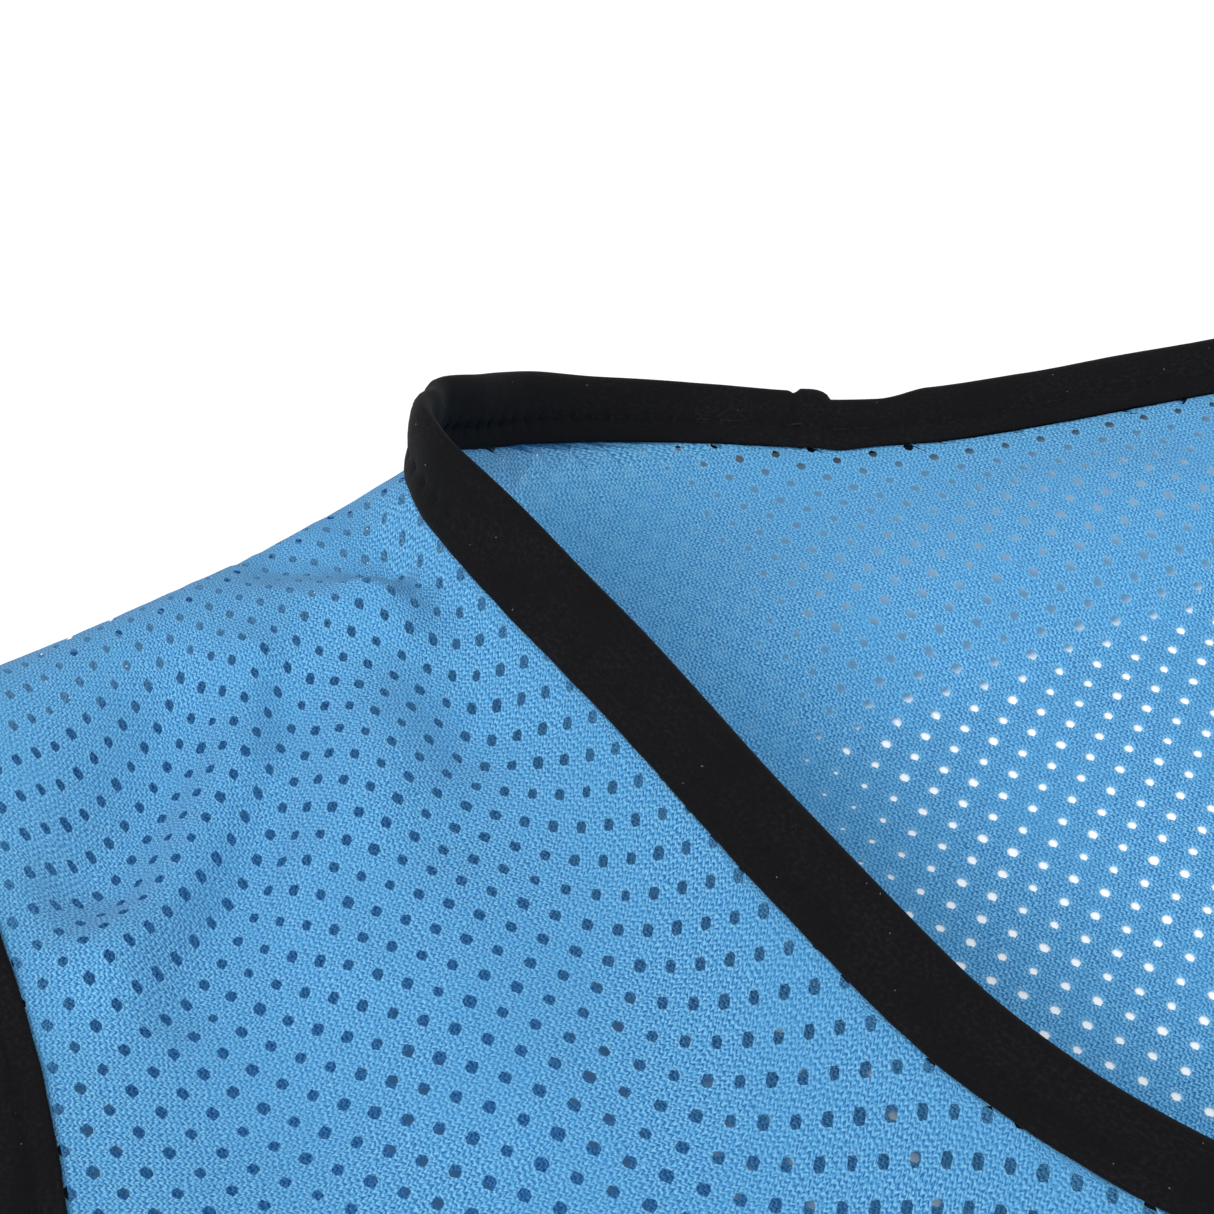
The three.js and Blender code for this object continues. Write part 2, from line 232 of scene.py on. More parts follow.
# The front's knit is drawn along with its straps from this length above the hem. It leans
# one way by the neck and the other way by the arm, and its courses climb to both edges.
DRAW_START, DRAW_EASE = 500.0, 30.0
NECK_LEAN, NECK_LEAN_OUT = 0.28, 80.0
ARM_LEAN, ARM_LEAN_OUT = -0.20, 215.0
NECK_CLIMB, NECK_CLIMB_OUT, NECK_CLIMB_EASE = 26.0, 118.0, 46.0
ARM_CLIMB, ARM_CLIMB_OUT, ARM_CLIMB_EASE = 16.0, 150.0, 65.0
CLIMB_START, CLIMB_EASE = 390.0, 150.0

# Lines across a panel on which lengths of cloth are measured, and spots for each row of its table
COLUMN_REACH = 282.0
COLUMN_STEP = 3.0
SPOTS_A_ROW = 24

# The binding: its row of stitches, and the size of its pattern
TAPE_STEP = 0.5
TAPE_PATTERN = 10.0
STITCH_LINE = 3.3
STITCH_PITCH = 3.4
STITCH_FROM, STITCH_TO = 0.10, 0.90
STITCH_DENT, STITCH_DENT_WIDTH = 0.42, 0.75
STITCH_CORNERS = ((5, -1), (20, 1))
STITCH_PROUD = 0.02
STITCH_RADIUS = 0.17

# Wobble of a tape, height and wavelength: slow and quick swelling, free edge and stitched edge
TAPE_WOBBLE = ((0.05, 26.0), (0.03, 9.0), (0.12, 55.0), (0.06, 12.0))
OCTAVES = (1.0, 1.7, 2.9)

# The tape's round end at the underarm
UNDERARM_ANGLES = np.radians(np.arange(-75, 76, 15))
UNDERARM_REACH = 1.6

# The lap of the neck tape's ends, at places along x: the crease where it starts, its rounded
# end, and the narrow stretch behind it
LAP_CREASE, LAP_CREASE_WIDTH = -55.0, 0.5
LAP_RISE_START, LAP_RISE = -54.7, 0.8
LAP_END, LAP_ROUND = -49.8, 2.8
LAP_NARROW_END, LAP_NARROW_EASE = -33.5, 9.0
# What the bulge, the crease and the narrow stretch add to the thickness and to the free edge
LAP_THICKNESS = np.array([0.34, -0.40, -0.08])
LAP_FREE_EDGE = np.array([0.25, -0.30, -1.50])
LAP_STITCHED_EDGE, LAP_STITCHED_WIDTH = -0.8, 5.0

# A short thread: place along it and share of its radius at each ring, and corners of a ring
THREAD_RINGS = np.array([(0.0, 0.35), (0.16, 0.85), (0.5, 1.0), (0.84, 0.85), (1.0, 0.35)])
THREAD_SIDES = 6

# Lint: fibres on each tape, corners of the tape that they cling to, half their length, and radius
LINT_SEED = 19
LINT_COUNTS = {"neck": 110, "armhole_left": 50, "armhole_right": 50}
LINT_CORNERS = (2, 3, 6, 7, 8, 9, 10, 15, 16, 17, 18, 19)
LINT_HALF = (0.06, 0.16)
LINT_RADIUS = (0.05, 0.09)


def section_at(panel, spot):
    """The section of a panel at each spot, counted in rows of its table."""
    rows = panel["rows"]
    last = len(rows) - 1
    spot = np.asarray(spot, float)
    k = np.clip(spot.astype(int), 0, last - 1)
    t = (spot - k)[..., None]
    start, end = rows[k], rows[k + 1]
    before = rows[np.maximum(k - 1, 0)]
    after = rows[np.minimum(k + 2, last)]
    corner = np.where(IS_OUTER, panel["arm_end"], panel["neck_end"])
    row = k[..., None]
    starts_fresh = (row == 0) | (row == corner)
    stops_short = (row + 1 == last) | (row + 1 == corner)
    start_slope = np.where(starts_fresh, end - start, (end - before) / 2)
    end_slope = np.where(stops_short, end - start, (after - start) / 2)
    value = (
        start * (1 + 2 * t) * (1 - t) ** 2
        + start_slope * t * (1 - t) ** 2
        + end * t * t * (3 - 2 * t)
        + end_slope * t * t * (t - 1)
    )
    return {name: value[..., c] for c, name in enumerate(COLUMNS)}


def crease_height(creases, out, down):
    """How far soft creases lift the cloth at each point. A crease follows a line of points."""
    lift = np.zeros(np.broadcast(out, down).shape)
    for height, width, line in creases:
        away = np.full(lift.shape, np.inf)
        for (start_out, start_down), (end_out, end_down) in zip(line, line[1:]):
            run_out = end_out - start_out
            run_down = end_down - start_down
            along = (out - start_out) * run_out + (down - start_down) * run_down
            along = np.clip(along / (run_out**2 + run_down**2), 0, 1)
            gap = np.hypot(out - start_out - along * run_out, down - start_down - along * run_down)
            away = np.minimum(away, gap)
        lift += height * np.exp(-((away / width) ** 2))
    return lift


def fold_height(folds, out, down):
    """How far the folds of the solids lift the cloth at each point."""
    creases = [(h, w, [(x0, y0), (x1, y1)]) for x0, y0, x1, y1, h, w in folds]
    return crease_height(creases, out, down)


# Height of the side seam at distances from the top: both panels close on it
SIDE_SEAM_DOWN = (275.0, 335.0, 410.0, 690.0)
SIDE_SEAM_HEIGHT = (4.25, 1.9, 1.2, 1.15)
SIDE_CLOSING = 6.0
UNDERARM_CLOSING = 12.0


def wall_point(panel, side, across, spot):
    """Points in the middle of a panel's wall. side is -1 for the left half, 1 for the right."""
    s = section_at(panel, spot)
    across = np.clip(across, 0, 1)
    out = s["inner_out"] + (s["outer_out"] - s["inner_out"]) * across
    down = s["inner_down"] + (s["outer_down"] - s["inner_down"]) * across
    fall = (1 - across ** s["round"]) ** s["drop"]
    row_length = np.hypot(s["outer_out"] - s["inner_out"], s["outer_down"] - s["inner_down"])
    neck_down = panel["rows"][panel["neck_end"]][1]
    under_neck = np.where(spot > panel["neck_end"], np.maximum(0, s["inner_down"] - neck_down), 0)
    from_neck = np.minimum(1, (across * row_length + under_neck) / NECK_FADE)
    from_side = np.minimum(1, (1 - across) * row_length / SIDE_FADE)
    fold = fold_height(panel["folds"], side * out, down) * from_neck
    near_neck = np.minimum(1, (across * row_length + under_neck) / CREASE_FADE)
    fade_rows = (panel["arm_end"] - ARM_FADE_ROWS, panel["arm_end"])
    side_fade = np.interp(spot, fade_rows, (ARM_FADE, SIDE_FADE))
    near_side = np.minimum(1, (1 - across) * row_length / side_fade)
    crease = crease_height(panel["creases"], side * out, down) * near_neck * near_side
    height = s["outer_height"] + (s["inner_height"] - s["outer_height"]) * fall
    height = height + (fold * from_side + crease) * np.minimum(1, spot)
    height = np.maximum(height, LOWEST[panel["name"]])
    seam = np.interp(down, SIDE_SEAM_DOWN, SIDE_SEAM_HEIGHT)
    closing = np.clip(1 - (1 - across) * row_length / SIDE_CLOSING, 0, 1) ** 2
    below_arm = np.clip((down - SIDE_SEAM_DOWN[0]) / UNDERARM_CLOSING, 0, 1)
    closing = np.where(spot > panel["arm_end"], closing * below_arm, 0)
    height = height + (seam - height) * closing
    return np.stack([side * out, TOP_Y - down, height], axis=-1)


def across_at(panel, x, spot):
    """How far across half a panel a line of constant x is at each spot."""
    s = section_at(panel, spot)
    return (np.abs(x) - s["inner_out"]) / (s["outer_out"] - s["inner_out"])


def cloth_lengths(panel, columns, spots):
    """The length of cloth from the hem up to each spot, along lines of constant x."""
    s = section_at(panel, spots)
    across = across_at(panel, columns[:, None], spots)
    down = s["inner_down"] + (s["outer_down"] - s["inner_down"]) * across
    side = np.where(columns < 0, -1, 1)[:, None]
    height = wall_point(panel, side, across, np.broadcast_to(spots, across.shape))[..., 2]
    steps = np.hypot(np.diff(down, axis=1), np.diff(height, axis=1))
    lengths = np.zeros(across.shape)
    lengths[:, :-1] = np.cumsum(steps[:, ::-1], axis=1)[:, ::-1]
    return lengths


def smooth(t):
    """A step from 0 to 1 with soft ends."""
    t = np.clip(t, 0, 1)
    return t * t * (3 - 2 * t)


def drawn_with_straps(p, q):
    """The front's knit as the straps draw it: wales lean along both edges, courses climb to them."""
    out = np.abs(p)
    above = np.maximum(0, q - DRAW_START)
    climb = above**2 / (above + DRAW_EASE)
    to_arm = np.clip((out - NECK_LEAN_OUT) / (ARM_LEAN_OUT - NECK_LEAN_OUT), 0, 1)
    lean = NECK_LEAN * np.clip(out / NECK_LEAN_OUT, 0, 1) + (ARM_LEAN - NECK_LEAN) * to_arm
    lift = NECK_CLIMB * smooth((NECK_CLIMB_OUT - out) / NECK_CLIMB_EASE)
    lift = lift + ARM_CLIMB * smooth((out - ARM_CLIMB_OUT) / ARM_CLIMB_EASE)
    return np.sign(p) * (out + lean * climb), q + lift * smooth((q - CLIMB_START) / CLIMB_EASE)


def place_on_cloth(panel, p, q):
    """Where points of the flat net lie on a panel: points, and which are past an edge.

    p runs across the cloth, q up from the hem. Below the hem the cloth turns up inside.
    """
    last = len(panel["rows"]) - 1
    columns = np.arange(-COLUMN_REACH, COLUMN_REACH + COLUMN_STEP / 2, COLUMN_STEP)
    spots = np.linspace(0, last, last * SPOTS_A_ROW + 1)
    lengths = cloth_lengths(panel, columns, spots)
    turned = q < 0
    q = np.abs(q)
    x = p
    if panel["name"] == "front":
        x, q = drawn_with_straps(p, q)
    # A point past the last column is held just short of it, so that it has one on each side
    place = np.clip((x - columns[0]) / COLUMN_STEP, 0, len(columns) - 1.001)
    left = place.astype(int)
    part = place - left
    spot_left = np.zeros(len(p))
    spot_right = np.zeros(len(p))
    from_hem = spots[::-1]
    for c in range(len(columns)):
        rising = lengths[c, ::-1]
        chosen = left == c
        spot_left[chosen] = np.interp(q[chosen], rising, from_hem)
        chosen = left + 1 == c
        spot_right[chosen] = np.interp(q[chosen], rising, from_hem)
    spot = spot_left * (1 - part) + spot_right * part
    across = across_at(panel, x, spot)
    top = np.interp(place, np.arange(len(columns)), lengths[:, 0])
    outside = (across < 0) | (across > 1) | (q > top)
    points = wall_point(panel, np.where(x < 0, -1, 1), across, spot)
    inward = -1 if panel["name"] == "front" else 1
    points[turned, 2] += inward * HEM_LAYER
    return points, outside


def net_faces(columns, rows):
    """Sites of the eyelet net, six corners each, and the cells that join them."""
    number = np.arange(columns * rows).reshape(rows, columns)
    cells = []
    for j in range(1, rows - 1):
        shift = j % 2
        here = number[j, 0 : columns - 1]
        east = number[j, 1:columns]
        north = number[j + 1, shift : shift + columns - 1]
        south = number[j - 1, shift : shift + columns - 1]
        width = min(len(here), len(north), len(south))
        here, east, north, south = (a[:width] * 6 for a in (here, east, north, south))
        cells.append(np.stack([here, here + 1, north + 3, north + 4], axis=1))
        cells.append(np.stack([here + 2, here + 3, south + 5, south], axis=1))
        cells.append(np.stack([here + 1, here + 2, south, north + 3], axis=1))
        cells.append(np.stack([north + 3, south, east + 4, east + 5], axis=1))
    return np.concatenate(cells)


def make_mesh(name, points, faces, material, uv=None, soft=True):
    """A mesh object from points in millimetres and a list of faces."""
    mesh = bpy.data.meshes.new(name)
    mesh.from_pydata((np.asarray(points) * MM).tolist(), [], [list(f) for f in faces])
    mesh.update()
    if uv is not None:
        layer = mesh.uv_layers.new(name="Pattern")
        loops = np.zeros(len(mesh.loops), int)
        mesh.loops.foreach_get("vertex_index", loops)
        layer.data.foreach_set("uv", np.asarray(uv, np.float32)[loops].ravel())
    mesh.polygons.foreach_set("use_smooth", np.full(len(mesh.polygons), soft))
    mesh.materials.append(material)
    piece = bpy.data.objects.new(name, mesh)
    bpy.context.scene.collection.objects.link(piece)
    return piece


def shut_share(panel, p, q):
    """How far each eyelet is drawn shut, from 0 to 1."""
    if panel["name"] == "back":
        outward = smooth((np.abs(p) - SHUT_BACK_OUT) / SHUT_BACK_OUT_EASE)
        return outward * smooth((q - SHUT_BACK_UP) / SHUT_BACK_UP_EASE)
    points = place_on_cloth(panel, p.ravel(), q.ravel())[0].reshape(*p.shape, 3)
    out = np.abs(points[..., 0])
    ridge = RIDGE_DOWN + RIDGE_SLOPE * (out - RIDGE_OUT)
    behind = smooth((ridge - TOP_Y + points[..., 1]) / RIDGE_EASE)
    return behind * smooth((out - SHUT_FRONT_OUT) / SHUT_FRONT_EASE)


def panel_piece(panel, material, name):
    """One panel as a sheet of the eyelet net, cut off at its edges."""
    net = panel["net"]
    columns = 2 * int(NET_HALF_WIDTH / net["step"]) + 2
    first_p = -(columns - 1) / 2 * net["step"]
    first_q = -(int(HEM_TURN / net["rise"]) + 0.5) * net["rise"]
    rows = int((BIB_LENGTH - first_q) / net["rise"])
    j, i = np.meshgrid(np.arange(rows), np.arange(columns), indexing="ij")
    site_p = first_p + (i + 0.5 * (j % 2)) * net["step"]
    site_q = first_q + j * net["rise"]
    half, tall, shoulder = net["width"], net["length"], net["shoulder"]
    corner_p = np.array([0, half, half, 0, -half, -half])
    corner_q = np.array([tall, shoulder, -shoulder, -tall, -shoulder, shoulder])
    rng = np.random.default_rng(NET_SEED)
    size = 1 + EYELET_SPREAD * rng.standard_normal((rows, columns, 1))
    size = size * (1 - SHUT_SHARE * shut_share(panel, site_p, site_q)[..., None])
    p = site_p[..., None] + corner_p * size + CORNER_SPREAD * rng.standard_normal((rows, columns, 6))
    q = site_q[..., None] + corner_q * size + CORNER_SPREAD * rng.standard_normal((rows, columns, 6))
    p, q = p.ravel(), q.ravel()
    points, outside = place_on_cloth(panel, p, q)
    faces = net_faces(columns, rows)
    faces = faces[~outside[faces].all(axis=1)]
    if panel["name"] == "back":
        faces = faces[:, ::-1]
    used, faces = np.unique(faces, return_inverse=True)
    faces = faces.reshape(-1, 4)
    uv = np.stack([(p - first_p) / net["step"], (q - first_q) / (2 * net["rise"])], axis=1)
    return make_mesh(name, points[used], faces, material, uv[used])


# Materials


def wire(tree, socket, value):
    """Set a socket's value, or link it where the value is another node's socket."""
    if isinstance(value, bpy.types.NodeSocket):
        tree.links.new(value, socket)
    else:
        socket.default_value = value


def add_node(tree, kind, inputs=None, **settings):
    """A shader node with its settings and inputs, given by name or number."""
    node = tree.nodes.new(kind)
    for key, value in settings.items():
        setattr(node, key, value)
    for key, value in (inputs or {}).items():
        wire(tree, node.inputs[key], value)
    return node


def calc(tree, operation, *values):
    """The output of a math node."""
    node = add_node(tree, "ShaderNodeMath", dict(enumerate(values)), operation=operation)
    return node.outputs[0]


def mix_colour(tree, factor, first, second):
    """The output of a colour mix."""
    node = add_node(tree, "ShaderNodeMix", data_type="RGBA")
    wire(tree, node.inputs["Factor"], factor)
    wire(tree, node.inputs[6], first)
    wire(tree, node.inputs[7], second)
    return node.outputs[2]


def new_material(name):
    """A material with an empty node tree."""
    material = bpy.data.materials.new(name)
    material.use_nodes = True
    tree = material.node_tree
    tree.nodes.clear()
    return material, tree


def pattern(tree):
    """The pattern coordinates of a piece, and its two parts."""
    uv = add_node(tree, "ShaderNodeUVMap", uv_map="Pattern")
    split = add_node(tree, "ShaderNodeSeparateXYZ", {0: uv.outputs[0]})
    return uv.outputs[0], split.outputs["X"], split.outputs["Y"]


def wave(tree, value, turns, shift=0.0):
    """A sine wave of a value, with so many turns for each unit."""
    return calc(tree, "SINE", calc(tree, "MULTIPLY_ADD", value, 2 * math.pi * turns, shift))


def noise(tree, vector, stretch, detail=2.0, roughness=0.5):
    """A noise value on stretched pattern coordinates."""
    mapped = add_node(tree, "ShaderNodeVectorMath", {0: vector, 1: stretch}, operation="MULTIPLY")
    texture = add_node(tree, "ShaderNodeTexNoise", {"Vector": mapped.outputs[0]})
    texture.inputs["Scale"].default_value = 1.0
    texture.inputs["Detail"].default_value = detail
    texture.inputs["Roughness"].default_value = roughness
    return texture.outputs["Fac"]


def ramp(tree, value, low, high):
    """A value mapped from low..high to 0..1 with smooth ends."""
    node = add_node(tree, "ShaderNodeMapRange", {"Value": value}, interpolation_type="SMOOTHSTEP")
    node.inputs["From Min"].default_value = low
    node.inputs["From Max"].default_value = high
    return node.outputs["Result"]


def cloth_face(tree, colour, relief, strength, depth, roughness, specular, sheen=0.0):
    """A matte face with a relief as deep as given in millimetres: its shader and its normal."""
    bump = add_node(tree, "ShaderNodeBump", {"Height": relief})
    bump.inputs["Strength"].default_value = strength
    bump.inputs["Distance"].default_value = depth * MM
    face = add_node(tree, "ShaderNodeBsdfPrincipled", {"Base Color": colour, "Normal": bump.outputs[0]})
    face.inputs["Roughness"].default_value = roughness
    face.inputs["Specular IOR Level"].default_value = specular
    face.inputs["Sheen Weight"].default_value = sheen
    return face.outputs[0], bump.outputs[0]


def show(tree, shader):
    """Make a shader the surface of its material."""
    out = add_node(tree, "ShaderNodeOutputMaterial")
    tree.links.new(shader, out.inputs["Surface"])


# Wales and courses of the knit on one step of the eyelet net
WALES = 9
COURSES = 7


def mesh_cloth():
    """Blue knit: wales that part round the eyelets and fine loops, darker down the relief's grooves and
    pinholes and paler on its crests as painted shade and painted highlight, and a painted highlight on
    each eyelet's rim.

    One unit of the pattern is one step of the eyelet net.
    """
    material, tree = new_material("mesh_cloth")
    place, across, up = pattern(tree)
    upward = wave(tree, up, 1, math.pi / 2)
    parting = calc(tree, "MULTIPLY", wave(tree, across, 1), upward)
    eyelet = calc(tree, "MULTIPLY", wave(tree, across, 1, math.pi / 2), upward)
    wander = calc(tree, "SUBTRACT", noise(tree, place, (3.2, 4.0, 1)), 0.5)
    bent = calc(tree, "MULTIPLY_ADD", parting, 0.035, across)
    bent = calc(tree, "MULTIPLY_ADD", wander, 0.16, bent)
    loops = calc(tree, "SUBTRACT", noise(tree, place, (10, 17, 1), 1.0), 0.5)
    bent = calc(tree, "MULTIPLY_ADD", loops, 0.06, bent)
    bent = calc(tree, "MULTIPLY_ADD", wave(tree, up, COURSES), 0.026, bent)
    wale = wave(tree, bent, WALES)
    course = wave(tree, calc(tree, "MULTIPLY_ADD", wander, 0.06, up), COURSES)
    grain = calc(tree, "SUBTRACT", noise(tree, place, (22, 24, 1), 1.0), 0.5)
    relief = calc(tree, "MULTIPLY_ADD", wale, 0.34, 0.50)
    relief = calc(tree, "MULTIPLY_ADD", course, 0.09, relief)
    relief = calc(tree, "MULTIPLY_ADD", grain, 1.8, relief)
    # The colour follows the relief: painted shade in its grooves and pinholes, painted highlight on its
    # crests.
    deep = (0.020, 0.128, 0.38, 1)
    mid = (0.092, 0.385, 0.70, 1)
    pale = (0.29, 0.66, 0.90, 1)
    colour = mix_colour(tree, ramp(tree, relief, 0.0, 0.5), deep, mid)
    colour = mix_colour(tree, ramp(tree, relief, 0.5, 1.05), colour, pale)
    # A paler ring round each eyelet: painted highlight on a rim that the flat sheet lacks.
    rim_highlight = calc(tree, "MULTIPLY", ramp(tree, eyelet, 0.1, 0.6), 0.15)
    colour = mix_colour(tree, rim_highlight, colour, pale)
    patches = noise(tree, place, (0.30, 0.22, 1))
    colour = mix_colour(tree, calc(tree, "MULTIPLY", ramp(tree, patches, 0.35, 0.75), 0.3), colour, mid)
    face, normal = cloth_face(tree, colour, relief, 0.6, 0.16, roughness=0.8, specular=0.2, sheen=0.08)
    glow = mix_colour(tree, 0.2, colour, (0.45, 0.75, 0.95, 1))
    through = add_node(tree, "ShaderNodeBsdfTranslucent", {"Color": glow, "Normal": normal})
    both = add_node(tree, "ShaderNodeMixShader", {1: face, 2: through.outputs[0]})
    both.inputs[0].default_value = 0.42
    show(tree, both.outputs[0])
    return material


def tape_cloth():
    """Black jersey tape: fine ribs and loops, paler in random patches where its grain stands high, as
    painted sheen on the raised fibres. One unit of its pattern is 10 mm.
    """
    material, tree = new_material("tape_cloth")
    place, along, around = pattern(tree)
    rib = wave(tree, around, 20)
    loop = wave(tree, along, 18)
    grain = noise(tree, place, (14, 18, 1), 3.0, 0.6)
    patches = noise(tree, place, (1.0, 2.0, 1))
    black = (0.0030, 0.0030, 0.0038, 1)
    sheen_grey = (0.0095, 0.0098, 0.0125, 1)
    # Paler where the grain stands high, in random patches: painted sheen on the raised fibres.
    amount = calc(tree, "MULTIPLY", ramp(tree, grain, 0.40, 0.80), ramp(tree, patches, 0.2, 0.8))
    colour = mix_colour(tree, amount, black, sheen_grey)
    relief = calc(tree, "MULTIPLY_ADD", calc(tree, "MULTIPLY", rib, loop), 0.2, grain)
    face, _ = cloth_face(tree, colour, relief, 0.5, 0.12, roughness=0.9, specular=0.08, sheen=0.02)
    show(tree, face)
    return material


def thread(name, dark, light):
    """Twisted thread or lint: two tones in fine streaks along the twist, darker where its relief is low
    as painted shade. One unit of its pattern is 1 mm.
    """
    material, tree = new_material(name)
    place, along, around = pattern(tree)
    twist = wave(tree, calc(tree, "ADD", calc(tree, "MULTIPLY", along, 1.6), around), 1)
    fuzz = noise(tree, place, (5, 3, 1))
    # The relief also sets the colour: painted shade down the twist's grooves.
    shade = calc(tree, "MULTIPLY_ADD", twist, 0.25, fuzz)
    colour = mix_colour(tree, ramp(tree, shade, 0.2, 0.8), dark, light)
    face, _ = cloth_face(tree, colour, shade, 0.5, 0.06, roughness=0.75, specular=0.15)
    show(tree, face)
    return material


# Bindings

# The folded section of the tape: distance off the stitched line, and height over the cloth,
# with the garment's outside below zero. The inside leg ends at the stitch line.
TAPE_PROFILE = np.array([
    (-0.45, -0.60), (-0.35, -1.00), (0.40, -1.22), (1.60, -1.30), (2.60, -1.22), (3.30, -1.12),
    (4.00, -1.24), (5.20, -1.42), (6.60, -1.50), (8.00, -1.46), (9.20, -1.22), (9.95, -0.80),
    (10.30, -0.25), (10.30, 0.25), (9.95, 0.80), (9.20, 1.22), (8.00, 1.46), (6.60, 1.50),
    (5.20, 1.42), (4.20, 1.30), (3.55, 1.18), (3.20, 0.92), (2.40, 0.86), (1.20, 0.86),
    (0.20, 0.82), (-0.25, 0.60), (0.30, 0.42), (8.80, 0.35), (8.80, -0.35), (0.30, -0.42),
])


def edge_run(panel, side, edge):
    """Points, tape lifts and outward directions along one bound edge, from the shoulder seam."""
    end = panel["neck_end"] if edge == "inner" else panel["arm_end"]
    spot = np.linspace(0, end, end * SPOTS_A_ROW + 1)
    points = wall_point(panel, side, np.full(len(spot), 0.0 if edge == "inner" else 1.0), spot)
    lift = np.radians(section_at(panel, spot)[edge + "_lift"])
    turn = np.radians(UNDERARM_TURN * (spot / end) ** 3)
    outward = np.stack([side * np.cos(turn), np.sin(turn), np.zeros(len(spot))], axis=1)
    return np.column_stack([points, lift, outward])


def along_path(path, where, spots):
    """Rows of a path at given lengths, when the length at each of its rows is known."""
    return np.stack([np.interp(spots, where, path[:, c]) for c in range(path.shape[1])], axis=1)


def path_lengths(path):
    """The length from the start of a path to each of its rows."""
    gaps = np.linalg.norm(np.diff(path[:, :3], axis=0), axis=1)
    return np.concatenate([[0], np.cumsum(gaps)])


def even_steps(run):
    """A ring resampled at even steps of its length, with the length at each step."""
    run = np.vstack([run, run[:1]])
    length = path_lengths(run)
    count = int(round(length[-1] / TAPE_STEP))
    where = np.linspace(0, length[-1], count + 1)
    return along_path(run, length, where)[:-1], where[:-1]


def tape_directions(run, outward_known):
    """Directions along the edge, off the cloth and across the tape at each step."""
    points, lift, outward = run[:, :3], run[:, 3], run[:, 4:7]
    along = np.roll(points, -3, axis=0) - np.roll(points, 3, axis=0)
    along /= np.linalg.norm(along, axis=1)[:, None]
    if outward_known:
        level = outward
    else:
        level = np.stack([along[:, 1], -along[:, 0], np.zeros(len(along))], axis=1)
        level /= np.linalg.norm(level, axis=1)[:, None]
    off = level * np.cos(lift)[:, None]
    off[:, 2] += np.sin(lift)
    off -= along * (off * along).sum(axis=1)[:, None]
    off /= np.linalg.norm(off, axis=1)[:, None]
    rise = np.cross(along, off)
    return along, off, rise


def unique_steps(run):
    """A run without points that repeat the one before."""
    gaps = np.linalg.norm(np.diff(run[:, :3], axis=0), axis=1)
    return run[np.concatenate([[True], gaps > 0.001])]


def neck_run():
    """The neck edge: up the left of the front, along the back and down the right."""
    run = np.vstack([
        edge_run(FRONT, -1, "inner")[::-1],
        edge_run(BACK, -1, "inner"),
        edge_run(BACK, 1, "inner")[::-1],
        edge_run(FRONT, 1, "inner"),
    ])
    return unique_steps(run)[:-1]


def arm_run(side):
    """An armhole edge as a ring: up the front, over the shoulder, down the back, round the underarm."""
    up_front = edge_run(FRONT, side, "outer")[::-1]
    down_back = edge_run(BACK, side, "outer")
    middle = (up_front[0, 2] + down_back[-1, 2]) / 2
    reach = (up_front[0, 2] - down_back[-1, 2]) / 2
    round_end = np.repeat(up_front[:1], len(UNDERARM_ANGLES), axis=0)
    round_end[:, 0] += side * UNDERARM_REACH * reach * np.cos(UNDERARM_ANGLES)
    round_end[:, 2] = middle + reach * np.sin(UNDERARM_ANGLES)
    return unique_steps(np.vstack([up_front, down_back, round_end]))


def ripple(where, seed, height, wavelength):
    """A smooth wobble along a length, the same on every run."""
    rng = np.random.default_rng(seed)
    total = np.zeros(len(where))
    for octave in OCTAVES:
        turns = where * octave / wavelength
        total += np.sin(2 * math.pi * turns + rng.uniform(0, 2 * math.pi)) / octave
    return height * total / 2


def lap_shape(x, lift):
    """Where the neck tape's ends lap: thickness, shift of the free edge and of the stitched edge."""
    on_back = lift > math.pi / 2
    past_end = np.clip((x - LAP_END + LAP_ROUND) / LAP_ROUND, 0, 1)
    rounded = np.sqrt(1 - past_end**2)
    bulge = smooth((x - LAP_RISE_START) / LAP_RISE) * rounded
    crease = np.exp(-(((x - LAP_CREASE) / LAP_CREASE_WIDTH) ** 2))
    narrow = (1 - rounded) * smooth((LAP_NARROW_END - x) / LAP_NARROW_EASE)
    changes = np.stack([bulge, crease, narrow])
    thickness = 1 + on_back * (LAP_THICKNESS @ changes)
    free_shift = on_back * (LAP_FREE_EDGE @ changes)
    by_end = np.exp(-(((x - LAP_END) / LAP_STITCHED_WIDTH) ** 2))
    return thickness, free_shift, LAP_STITCHED_EDGE * on_back * by_end


def tape_surface(run, outward_known, lapped, seed):
    """The folded tape along a ring: its corners, the length at each step and its directions."""
    even, where = even_steps(run)
    along, off, rise = tape_directions(even, outward_known)
    profile = TAPE_PROFILE
    pinch = np.maximum(0, np.cos(2 * math.pi * where / STITCH_PITCH)) ** 3
    near_stitch = np.exp(-(((profile[:, 0] - STITCH_LINE) / STITCH_DENT_WIDTH) ** 2))
    wobbles = [ripple(where, seed + k, *wobble) for k, wobble in enumerate(TAPE_WOBBLE)]
    slow, quick, free_shift, stitched_shift = wobbles
    thickness = 1 + slow + quick
    if lapped:
        lap_thickness, lap_free, lap_stitched = lap_shape(even[:, 0], even[:, 3])
        thickness = thickness * lap_thickness
        free_shift = free_shift + lap_free
        stitched_shift = stitched_shift + lap_stitched
    share = np.clip(profile[:, 0] / profile[:, 0].max(), 0, 1)
    outward = profile[:, 0] + free_shift[:, None] * share + stitched_shift[:, None] * (1 - share)
    dent = STITCH_DENT * pinch[:, None] * near_stitch
    height = profile[:, 1] * thickness[:, None] * (1 - dent)
    corners = even[:, None, :3] + off[:, None] * outward[..., None] + rise[:, None] * height[..., None]
    return corners, where, along, rise


